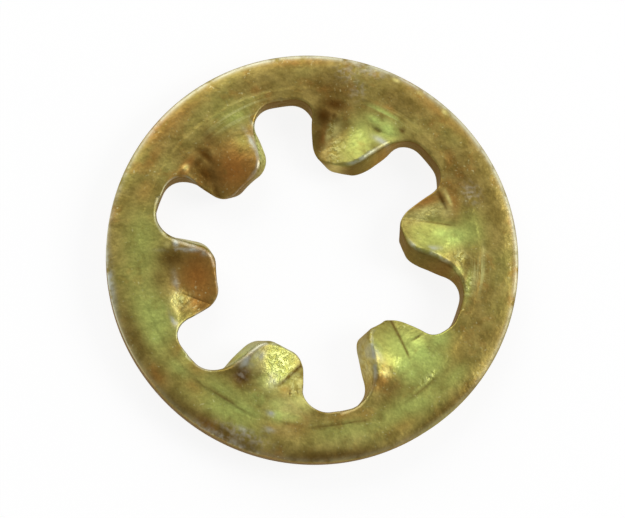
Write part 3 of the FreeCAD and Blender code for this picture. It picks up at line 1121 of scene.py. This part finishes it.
    def tints(
        self, points: np.ndarray, normals: np.ndarray, cut: np.ndarray, painted_shade: np.ndarray
    ) -> dict[Tint, np.ndarray]:
        """How much of each tint every point carries.

        Patches lie on the upper side only, wall patches on the cut walls. Elsewhere a cut wall and the outer
        wall carry painted brown shade, as do the creases and dents, lips are bare with a painted highlight,
        and the rim is rubbed with a painted highlight on its lit side.

        Args:
            points: The skin's points.
            normals: The skin's outward directions.
            cut: Share of cut wall.
            painted_shade: Painted shade along the sharp creases and in the dents.

        Returns:
            A value from 0 to 1 for each tint at each point.
        """
        wear_and_painted_light = self.wear_and_painted_light
        facing = eased(normals[..., 2], *wear_and_painted_light.facing)
        cover = {tint: np.zeros(cut.shape) for tint in Tint}
        for patch in PATCHES:
            cover[patch.tint] = np.maximum(cover[patch.tint], patch.cover(points) * facing)
        wall = eased(cut, *wear_and_painted_light.wall)
        # Wall patches replace the walls' painted shade where they lie.
        wall_patched = np.zeros(cut.shape)
        for patch in WALL_PATCHES:
            shape = patch.cover(points) * wall
            cover[patch.tint] = np.maximum(cover[patch.tint], shape)
            wall_patched = np.maximum(wall_patched, shape)
        height = points[..., 2]
        radius = np.hypot(points[..., 0], points[..., 1])
        azimuth = np.arctan2(points[..., 1], points[..., 0])
        # Bare lips with a painted highlight.
        lips = wear_and_painted_light.lips(cut, height, azimuth) * (1 - cover[Tint.BROWN])
        cover[Tint.BARE_AND_GLINT] = np.maximum(cover[Tint.BARE_AND_GLINT], lips)
        outer_wall = eased(radius - self.strip.outer_radius, *wear_and_painted_light.rim_inset) * eased(height, *wear_and_painted_light.rim_below)
        # Painted brown shade on the cut walls, on the outer wall, and in the creases and dents.
        for brown in (wear_and_painted_light.wall_shade * wall * (1 - wall_patched), wear_and_painted_light.outer_wall_shade * outer_wall, painted_shade):
            cover[Tint.BROWN] = np.maximum(cover[Tint.BROWN], brown)
        # Rubbed rim, with a painted highlight on its lit side.
        cover[Tint.RUBBED_AND_SHEEN] = wear_and_painted_light.rim(radius, height, azimuth)
        return cover

    def uneven(
        self, points: np.ndarray, cut: np.ndarray, painted_shade: np.ndarray
    ) -> tuple[np.ndarray, np.ndarray]:
        """Adds the waves and the dents, moves the punched teeth off centre and keeps within the height.

        Args:
            points: The regular skin's points.
            cut: Share of cut wall.
            painted_shade: Painted shade along the sharp creases.

        Returns:
            The points, and the painted shade with that of the dents.
        """
        normals = self.normals(points)
        upper = np.where(normals[..., 2] > self.dent_facing, 1.0, 0.0)
        height = self.waves(points) * (1 - self.wave_on_wall * cut)
        for dent in DENTS:
            shape = dent.shape(points) * upper
            height = height - dent.depth * shape
            # Painted brown shade in the dent's hollow.
            painted_shade = np.maximum(painted_shade, dent.painted_shade * shape)
        inset = self.strip.outer_radius - np.hypot(points[..., 0], points[..., 1])
        inside = eased(inset, 0.0, self.still_rim)
        points = self.shifted(points + normals * (height * inside)[..., None])
        points[..., 2] = np.clip(points[..., 2], -self.half_height, self.half_height)
        return points, painted_shade

    def build(self) -> bpy.types.Object:
        """Makes the washer's mesh object.

        Returns:
            The object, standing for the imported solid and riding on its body.
        """
        points, cut, painted_shade = self.grid()
        points, painted_shade = self.uneven(points, cut, painted_shade)
        cover = self.tints(points, self.normals(points), cut, painted_shade)
        rows, columns = cut.shape
        index = np.arange(rows * columns).reshape(rows, columns)
        right = np.roll(index, -1, 1)
        above = np.roll(index, -1, 0)
        corner = np.roll(right, -1, 0)
        quads = np.stack([index, above, corner, right], -1).reshape(-1, 4)
        mesh = bpy.data.meshes.new("washer_skin")
        mesh.vertices.add(points.shape[0] * points.shape[1])
        mesh.vertices.foreach_set("co", (points * MILLIMETRE).astype(np.float32).ravel())
        mesh.loops.add(quads.size)
        mesh.loops.foreach_set("vertex_index", quads.astype(np.int32).ravel())
        mesh.polygons.add(len(quads))
        mesh.polygons.foreach_set("loop_start", np.arange(0, quads.size, 4, dtype=np.int32))
        mesh.update(calc_edges=True)
        mesh.polygons.foreach_set("use_smooth", np.ones(len(quads), dtype=bool))
        for tint, values in cover.items():
            layer = mesh.attributes.new(tint.value, "FLOAT", "POINT")
            layer.data.foreach_set("value", values.astype(np.float32).ravel())
        mesh.update()
        mesh.validate()
        washer = placed("washer_skin", mesh)
        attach(washer, "root")
        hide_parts("lock_washer")
        return washer


@dataclass(frozen=True)
class Cloud:
    """A cloudy noise: its cells in a millimetre, its finer layers and how rough they are."""

    cells: float
    layers: float
    rough: float


class NodeBench:
    """Puts shader nodes into a material or world and joins them."""

    def __init__(self, tree: bpy.types.NodeTree) -> None:
        """Empties the tree.

        Args:
            tree: The node tree that the nodes go into.
        """
        self.tree = tree
        self.clouds: dict[Cloud, Socket] = {}
        tree.nodes.clear()

    def add(
        self, kind: str, inputs: dict[str | int, object] | None = None, **options: object
    ) -> bpy.types.Node:
        """Adds a node.

        Args:
            kind: The node's type name.
            inputs: Values or sockets for its inputs, by name or number.
            options: The node's own settings.

        Returns:
            The node.
        """
        node = self.tree.nodes.new(kind)
        for name, value in options.items():
            setattr(node, name, value)
        for name, value in (inputs or {}).items():
            if isinstance(value, Socket):
                self.tree.links.new(value, node.inputs[name])
            else:
                node.inputs[name].default_value = value
        return node

    def math(self, operation: str, *values: object, clamp: bool = False) -> Socket:
        """One operation on sockets and numbers, named as the node names it."""
        node = self.add("ShaderNodeMath", dict(enumerate(values)), operation=operation, use_clamp=clamp)
        return node.outputs[0]

    def noise(self, vector: Socket, cloud: Cloud) -> Socket:
        """Cloudy noise, from about 0.2 to 0.8. Each cloud is made once and then used again.

        Args:
            vector: Where the cloud lies.
            cloud: The cloud.

        Returns:
            The noise.
        """
        if cloud not in self.clouds:
            inputs = {"Vector": vector, "Scale": cloud.cells, "Detail": cloud.layers}
            node = self.add("ShaderNodeTexNoise", inputs | {"Roughness": cloud.rough})
            self.clouds[cloud] = node.outputs["Fac"]
        return self.clouds[cloud]

    def bump(self, height: Socket, depth: float, below: Socket | None = None) -> Socket:
        """Relief from a height, on top of any relief below it.

        Args:
            height: The height, from 0 to 1.
            depth: What a height of 1 stands for, in millimetres.
            below: The relief below.

        Returns:
            The relief.
        """
        inputs = {"Height": height, "Strength": 1.0, "Distance": depth * MILLIMETRE}
        if below is not None:
            inputs["Normal"] = below
        return self.add("ShaderNodeBump", inputs).outputs[0]

    def times(self, *values: object, clamp: bool = False) -> Socket:
        """The product of two sockets or numbers."""
        return self.math("MULTIPLY", *values, clamp=clamp)

    def band(self, value: Socket, low: float, high: float) -> Socket:
        """Stretches the part of a value between low and high to the range from 0 to 1, smoothly."""
        inputs = {"Value": value, "From Min": low, "From Max": high}
        return self.add("ShaderNodeMapRange", inputs, interpolation_type="SMOOTHSTEP").outputs[0]

    def mix(self, share: object, below: object, above: object, blend: str = "MIX") -> Socket:
        """Lays one colour over another.

        Args:
            share: How much of the upper colour shows.
            below: The lower colour.
            above: The upper colour.
            blend: How the two are blended.

        Returns:
            The mixed colour.
        """
        inputs = {0: share, 6: below, 7: above}
        return self.add("ShaderNodeMix", inputs, data_type="RGBA", blend_type=blend).outputs[2]

    def attribute(self, name: str) -> Socket:
        """A value that the mesh carries."""
        return self.add("ShaderNodeAttribute", attribute_name=name).outputs["Fac"]


@dataclass(frozen=True)
class YellowZinc:
    """Zinc plate with a yellow passivate: olive gold, blooming green and amber, with brown painted as shade
    in the hollows and pale tints painted as highlights.

    A band or a break is the part of a noise that is stretched to the full range, and a share is how much a
    layer shows at most. The shade of the specks is its least value and its spread. Depths are those of the
    relief, in millimetres.
    """

    name: str = "yellow_zinc"
    olive: Colour = (0.278, 0.203, 0.046, 1.0)
    khaki: Colour = (0.432, 0.326, 0.090, 1.0)
    amber: Colour = (0.440, 0.190, 0.038, 1.0)
    green: Colour = (0.420, 0.460, 0.112, 1.0)
    lime: Colour = (0.575, 0.700, 0.180, 1.0)
    gold: Colour = (0.900, 0.790, 0.260, 1.0)
    # Brown is the colour of the painted shade and of the grain.
    brown: Colour = (0.105, 0.046, 0.006, 1.0)
    pit_dark: Colour = (0.340, 0.320, 0.060, 1.0)
    pit_bright: Colour = (0.820, 0.860, 0.330, 1.0)
    streak: Colour = (0.630, 0.610, 0.230, 1.0)
    # Sparkles are painted glints.
    sparkle: Colour = (0.780, 0.770, 0.400, 1.0)
    mauve: Colour = (0.500, 0.440, 0.320, 1.0)
    # Bare and rubbed zinc also serve as painted highlights on the lips and the rim.
    bare: Colour = (0.600, 0.620, 0.520, 1.0)
    zinc: Colour = (0.710, 0.700, 0.510, 1.0)
    metallic: float = 0.72
    roughness: float = 0.40
    specular: float = 0.2
    edge_tint: Colour = (0.86, 0.67, 0.38, 1.0)
    drift: Cloud = Cloud(0.9, 3.0, 0.5)
    mottle: Cloud = Cloud(4.2, 3.0, 0.55)
    bloom: Cloud = Cloud(2.6, 4.0, 0.6)
    lumps: Cloud = Cloud(7.0, 2.0, 0.5)
    grain: Cloud = Cloud(30.0, 2.0, 0.5)
    fleck: Cloud = Cloud(14.0, 1.5, 0.45)
    speck: Cloud = Cloud(19.0, 1.0, 0.5)
    spark: Cloud = Cloud(23.0, 0.0, 0.5)
    pit: Cloud = Cloud(17.0, 2.0, 0.55)
    rings: Cloud = Cloud(1.8, 2.0, 0.5)
    rings_outward: float = 9.0
    khaki_band: tuple[float, float] = (0.32, 0.68)
    haze_band: tuple[float, float] = (0.45, 0.75)
    haze_share: float = 0.35
    rust_band: tuple[float, float] = (0.50, 0.70)
    rust_share: float = 0.42
    tint_break: tuple[float, float] = (0.10, 0.50)
    brown_break: tuple[float, float] = (0.00, 0.38)
    pit_band: tuple[float, float] = (0.40, 0.60)
    pit_share: float = 0.62
    streak_band: tuple[float, float] = (0.48, 0.66)
    streak_share: float = 0.75
    scuff_band: tuple[float, float] = (0.34, 0.74)
    spark_band: tuple[float, float] = (0.68, 0.88)
    spark_bloom: tuple[float, float] = (0.42, 0.62)
    spark_share: float = 0.55
    spark_under_brown: float = -0.8
    speck_band: tuple[float, float] = (0.25, 0.75)
    speck_shade: tuple[float, float] = (0.91, 0.18)
    grain_band: tuple[float, float] = (0.60, 0.78)
    grain_share: float = 0.16
    rubbed_sheen_band: tuple[float, float] = (0.27, 0.54)
    bare_glint_band: tuple[float, float] = (0.34, 0.56)
    roughness_spread: float = 0.22
    brown_roughness: float = 0.12
    grain_depth: float = 0.0012
    lump_depth: float = 0.014
    pit_depth: float = 0.007

    def bloomed(self, bench: NodeBench, mm: Socket) -> Socket:
        """The passivate's own colours: olive and khaki, hazed green and rusty, then the tints over them,
        which also carry painted shade and painted highlights.

        Each tint's cover is broken up by the mottle, so that its edge is a cloudy one.

        Args:
            bench: The material's bench.
            mm: Object coordinates in millimetres.

        Returns:
            The colour.
        """
        mottle = bench.noise(mm, self.mottle)
        colour = bench.mix(bench.band(mottle, *self.khaki_band), self.olive, self.khaki)
        haze = bench.band(bench.noise(mm, self.drift), *self.haze_band)
        colour = bench.mix(bench.times(haze, self.haze_share), colour, self.green)
        rust = bench.band(bench.noise(mm, self.bloom), *self.rust_band)
        colour = bench.mix(bench.times(rust, self.rust_share), colour, self.amber)
        tints = (
            (Tint.AMBER, self.amber, self.tint_break), (Tint.GREEN, self.green, self.tint_break),
            (Tint.LIME, self.lime, self.tint_break), (Tint.GOLD, self.gold, self.tint_break),
            (Tint.BROWN, self.brown, self.brown_break),
        )
        for tint, paint, broken in tints:
            cover = bench.attribute(tint.value)
            share = bench.times(cover, bench.band(mottle, *broken), clamp=True)
            colour = bench.mix(share, colour, paint)
        return colour

    def streaks(self, bench: NodeBench, mm: Socket) -> Socket:
        """Fine scratches round the washer: noise on the radius, drawn out along the azimuth.

        Args:
            bench: The material's bench.
            mm: Object coordinates in millimetres.

        Returns:
            The strength of the scratches.
        """
        axes = bench.add("ShaderNodeSeparateXYZ", {0: mm})
        squares = [bench.math("POWER", axes.outputs[axis], 2.0) for axis in (0, 1)]
        radius = bench.math("SQRT", bench.math("ADD", *squares))
        azimuth = bench.math("ARCTAN2", axes.outputs[1], axes.outputs[0])
        spread = bench.times(radius, self.rings_outward)
        polar = bench.add("ShaderNodeCombineXYZ", {0: spread, 1: azimuth}).outputs[0]
        return bench.band(bench.noise(polar, self.rings), *self.streak_band)

    def marked(self, bench: NodeBench, mm: Socket, colour: Socket, pit: Socket) -> Socket:
        """Lays the marks of handling over a colour, pits, streaks, scuffs, specks and grain, with sparkles
        painted as glints.

        Args:
            bench: The material's bench.
            mm: Object coordinates in millimetres.
            colour: The colour below.
            pit: How deep a point lies in a pit, where there are pits.

        Returns:
            The colour.
        """
        pitting = bench.mix(pit, self.pit_dark, self.pit_bright)
        pitted = bench.times(bench.attribute(Tint.PITTED.value), self.pit_share)
        colour = bench.mix(pitted, colour, pitting)
        streaked = bench.times(bench.attribute(Tint.STREAKED.value), self.streaks(bench, mm))
        colour = bench.mix(bench.times(streaked, self.streak_share), colour, self.streak)
        fleck = bench.band(bench.noise(mm, self.fleck), *self.scuff_band)
        scuff = bench.times(bench.attribute(Tint.MAUVE.value), fleck)
        colour = bench.mix(scuff, colour, self.mauve)
        # Sparkles: painted glints, fewer under the painted brown shade.
        bloom = bench.band(bench.noise(mm, self.bloom), *self.spark_bloom)
        sparks = bench.times(bench.band(bench.noise(mm, self.spark), *self.spark_band), bloom)
        brown = bench.attribute(Tint.BROWN.value)
        clean = bench.math("MULTIPLY_ADD", brown, self.spark_under_brown, 1.0)
        sparks = bench.times(sparks, clean)
        colour = bench.mix(bench.times(sparks, self.spark_share), colour, self.sparkle)
        least, spread = self.speck_shade
        speck = bench.band(bench.noise(mm, self.speck), *self.speck_band)
        shade = bench.math("MULTIPLY_ADD", speck, spread, least)
        grey = bench.add("ShaderNodeCombineXYZ", {0: shade, 1: shade, 2: shade}).outputs[0]
        colour = bench.mix(1.0, colour, grey, "MULTIPLY")
        grain = bench.band(bench.noise(mm, self.grain), *self.grain_band)
        return bench.mix(bench.times(grain, self.grain_share), colour, self.brown)

    def rubbed_and_glinting(self, bench: NodeBench, mottle: Socket, colour: Socket) -> Socket:
        """Lays the rubbed zinc and the bare edges over a colour, both also painted highlights.

        Args:
            bench: The material's bench.
            mottle: The noise that breaks them up.
            colour: The colour below.

        Returns:
            The colour.
        """
        coats = ((Tint.RUBBED_AND_SHEEN, self.zinc, self.rubbed_sheen_band), (Tint.BARE_AND_GLINT, self.bare, self.bare_glint_band))
        for tint, paint, broken in coats:
            share = bench.times(bench.attribute(tint.value), bench.band(mottle, *broken))
            colour = bench.mix(share, colour, paint)
        return colour

    def material(self) -> bpy.types.Material:
        """Builds the finish.

        Returns:
            The material. Its patterns lie on Object coordinates in millimetres.
        """
        material = bpy.data.materials.new(self.name)
        material.use_nodes = True
        bench = NodeBench(material.node_tree)
        place = bench.add("ShaderNodeTexCoord").outputs["Object"]
        millimetres = (1 / MILLIMETRE,) * 3
        mm = bench.add("ShaderNodeMapping", {"Vector": place, "Scale": millimetres}).outputs[0]
        mottle = bench.noise(mm, self.mottle)
        pit = bench.band(bench.noise(mm, self.pit), *self.pit_band)
        colour = self.rubbed_and_glinting(bench, mottle, self.marked(bench, mm, self.bloomed(bench, mm), pit))

        base = self.roughness - self.roughness_spread / 2
        uneven = bench.math("MULTIPLY_ADD", mottle, self.roughness_spread, base)
        rough = bench.math("MULTIPLY_ADD", bench.attribute(Tint.BROWN.value), self.brown_roughness, uneven)
        relief = bench.bump(bench.noise(mm, self.grain), self.grain_depth)
        relief = bench.bump(bench.noise(mm, self.lumps), self.lump_depth, relief)
        craters = bench.times(bench.attribute(Tint.PITTED.value), pit)
        relief = bench.bump(craters, self.pit_depth, relief)
        shader = bench.add("ShaderNodeBsdfPrincipled", {
            "Base Color": colour, "Metallic": self.metallic, "Roughness": rough, "Normal": relief,
            "Specular IOR Level": self.specular, "Specular Tint": self.edge_tint,
        })
        bench.add("ShaderNodeOutputMaterial", {"Surface": shader.outputs[0]})
        return material

    def dress(self, piece: bpy.types.Object) -> None:
        """Puts the finish on a piece."""
        piece.data.materials.append(self.material())


@dataclass(frozen=True)
class WhiteTable:
    """The plain white table under the washer, which keeps a faint shadow."""

    width: float = 400.0
    glow_share: float = 0.80
    glow: float = 1.10
    white: Colour = (0.90, 0.90, 0.90, 1.0)

    def build(self, level: float) -> bpy.types.Object:
        """Makes the table.

        Args:
            level: Height of its surface, in metres.

        Returns:
            The table's object.
        """
        reach = self.width / 2 * MILLIMETRE
        around = ((-reach, -reach), (reach, -reach), (reach, reach), (-reach, reach))
        corners = [(x, y, level) for x, y in around]
        mesh = bpy.data.meshes.new("table")
        mesh.from_pydata(corners, [], [(0, 1, 2, 3)])
        table = placed("table", mesh)
        material = bpy.data.materials.new("table_white")
        material.use_nodes = True
        bench = NodeBench(material.node_tree)
        path = bench.add("ShaderNodeLightPath")
        looked_at = bench.math("MAXIMUM", path.outputs["Is Camera Ray"], path.outputs["Is Glossy Ray"])
        looked_at = bench.math("MAXIMUM", looked_at, path.outputs["Is Transmission Ray"])
        share = bench.times(looked_at, self.glow_share)
        plain = bench.add("ShaderNodeBsdfDiffuse", {"Color": self.white})
        glow = bench.add("ShaderNodeEmission", {"Color": (1.0, 1.0, 1.0, 1.0), "Strength": self.glow})
        lit = bench.add("ShaderNodeMixShader", {0: share, 1: plain.outputs[0], 2: glow.outputs[0]})
        behind = bench.add("ShaderNodeNewGeometry").outputs["Backfacing"]
        clear = bench.add("ShaderNodeBsdfTransparent")
        one_way = bench.add("ShaderNodeMixShader", {0: behind, 1: lit.outputs[0], 2: clear.outputs[0]})
        bench.add("ShaderNodeOutputMaterial", {"Surface": one_way.outputs[0]})
        mesh.materials.append(material)
        return table


def direction(lean: float, azimuth: float) -> Vector:
    """The direction that leans off the vertical by one angle, towards an azimuth, both in degrees."""
    lean, azimuth = math.radians(lean), math.radians(azimuth)
    return Vector((math.sin(lean) * math.cos(azimuth), math.sin(lean) * math.sin(azimuth), math.cos(lean)))


@dataclass(frozen=True)
class Lamp:
    """A soft square lamp aimed at the washer. Azimuth and elevation say where it stands."""

    name: str
    azimuth: float
    elevation: float
    distance: float
    width: float
    power: float

    def build(self) -> bpy.types.Object:
        """Makes the lamp, at its distance in its direction, facing the origin.

        Returns:
            The lamp's object.
        """
        light = bpy.data.lights.new(self.name, "AREA")
        light.size = self.width * MILLIMETRE
        light.energy = self.power
        lamp = placed(self.name, light)
        back = direction(90.0 - self.elevation, self.azimuth)
        lamp.location = back * self.distance * MILLIMETRE
        lamp.rotation_mode = "QUATERNION"
        lamp.rotation_quaternion = (-back).to_track_quat("-Z", "Y")
        return lamp


@dataclass(frozen=True)
class Daylight:
    """Plain soft studio light: white walls, a greyer ceiling on one side, and two large lamps.

    The grey of the ceiling is centred on a direction leaning off the zenith, and turns white towards the
    walls between two angles from it.
    """

    surround: float = 0.50
    ceiling: float = 0.38
    ceiling_lean: float = 28.0
    ceiling_azimuth: float = seen(245)
    ceiling_edges: tuple[float, float] = (30.0, 78.0)
    lamps: tuple[Lamp, ...] = (
        Lamp("key_lamp", seen(3), 40.0, 260.0, 130.0, 0.21),
        Lamp("fill_lamp", seen(112), 36.0, 260.0, 220.0, 0.22),
    )

    def walls(self, bench: NodeBench) -> Socket:
        """Brightness of the room in each direction, from the ceiling's grey to white.

        Args:
            bench: The world's bench.

        Returns:
            The brightness.
        """
        middle = direction(self.ceiling_lean, self.ceiling_azimuth)
        way = bench.add("ShaderNodeTexCoord").outputs["Generated"]
        dot = bench.add("ShaderNodeVectorMath", {0: way, 1: middle}, operation="DOT_PRODUCT")
        nearness = dot.outputs["Value"]
        near, far = (math.cos(math.radians(edge)) for edge in self.ceiling_edges)
        share = bench.band(nearness, far, near)
        return bench.math("MULTIPLY_ADD", share, self.ceiling - 1.0, 1.0)

    def build(self) -> None:
        """Makes the room and the lamps. What the camera looks at is white, reflections show the room."""
        world = bpy.data.worlds.new("surround")
        world.use_nodes = True
        bpy.context.scene.world = world
        bench = NodeBench(world.node_tree)
        path = bench.add("ShaderNodeLightPath")
        mirrored = bench.math("MAXIMUM", path.outputs["Is Glossy Ray"], path.outputs["Is Transmission Ray"])
        plain = bench.math("MULTIPLY_ADD", mirrored, 1.0 - self.surround, self.surround)
        room = bench.times(plain, self.walls(bench))
        strength = bench.math("MAXIMUM", room, path.outputs["Is Camera Ray"])
        sky = bench.add("ShaderNodeBackground", {"Color": (1.0, 1.0, 1.0, 1.0), "Strength": strength})
        bench.add("ShaderNodeOutputWorld", {"Surface": sky.outputs[0]})
        for lamp in self.lamps:
            lamp.build()


@dataclass(frozen=True)
class Viewpoint:
    """The camera, leaning off the washer's axis as the photograph does.

    The lean is measured from the axis, towards a direction in the picture. The turn is that of the washer in
    the picture. The scale is the outer radius in picture elements, and the nearness is the outer radius as
    a share of the distance.
    """

    picture: tuple[int, int] = (625, 518)
    middle: tuple[float, float] = (313.15, 256.55)
    scale: float = 206.95
    lean: float = 12.567
    lean_towards: float = 239.138
    nearness: float = 0.1002
    sensor: float = 36.0

    def build(self, strip: Strip) -> bpy.types.Object:
        """Makes the camera.

        Args:
            strip: The ring's sizes, for the outer radius.

        Returns:
            The camera's object.
        """
        back = direction(self.lean, self.lean_towards)
        swing = Vector((0, 0, 1)).rotation_difference(back).to_matrix()
        turn = Matrix.Rotation(math.radians(-TURN), 3, "Z")
        distance = strip.nominal_radius / self.nearness * MILLIMETRE
        lens = bpy.data.cameras.new("viewpoint")
        width, height = self.picture
        lens.sensor_width = self.sensor
        lens.lens = self.scale / self.nearness / width * self.sensor
        lens.shift_x = -(self.middle[0] - (width - 1) / 2) / width
        lens.shift_y = (self.middle[1] - (height - 1) / 2) / width
        lens.clip_start = distance * 0.1
        lens.clip_end = distance * 100
        camera = placed("viewpoint", lens)
        camera.matrix_world = (turn @ swing).to_4x4()
        camera.location = turn @ back * distance
        bpy.context.scene.camera = camera
        return camera


def main() -> None:
    """Builds the washer, the table, the light and the camera."""
    logging.basicConfig(level=logging.INFO, format="%(name)s: %(message)s")
    washer = LockWasher()
    skin = washer.build()
    YellowZinc().dress(skin)
    LOG.info("%s: %d faces", skin.name, len(skin.data.polygons))
    table = WhiteTable().build(CAD_BOX[0][2])
    LOG.info("%s: at %.4f mm", table.name, CAD_BOX[0][2] / MILLIMETRE)
    Daylight().build()
    camera = Viewpoint().build(washer.strip)
    LOG.info("%s: %.1f mm from the washer", camera.name, camera.location.length / MILLIMETRE)
    bpy.context.scene.view_settings.view_transform = "Standard"


if __name__ == "__main__":
    main()
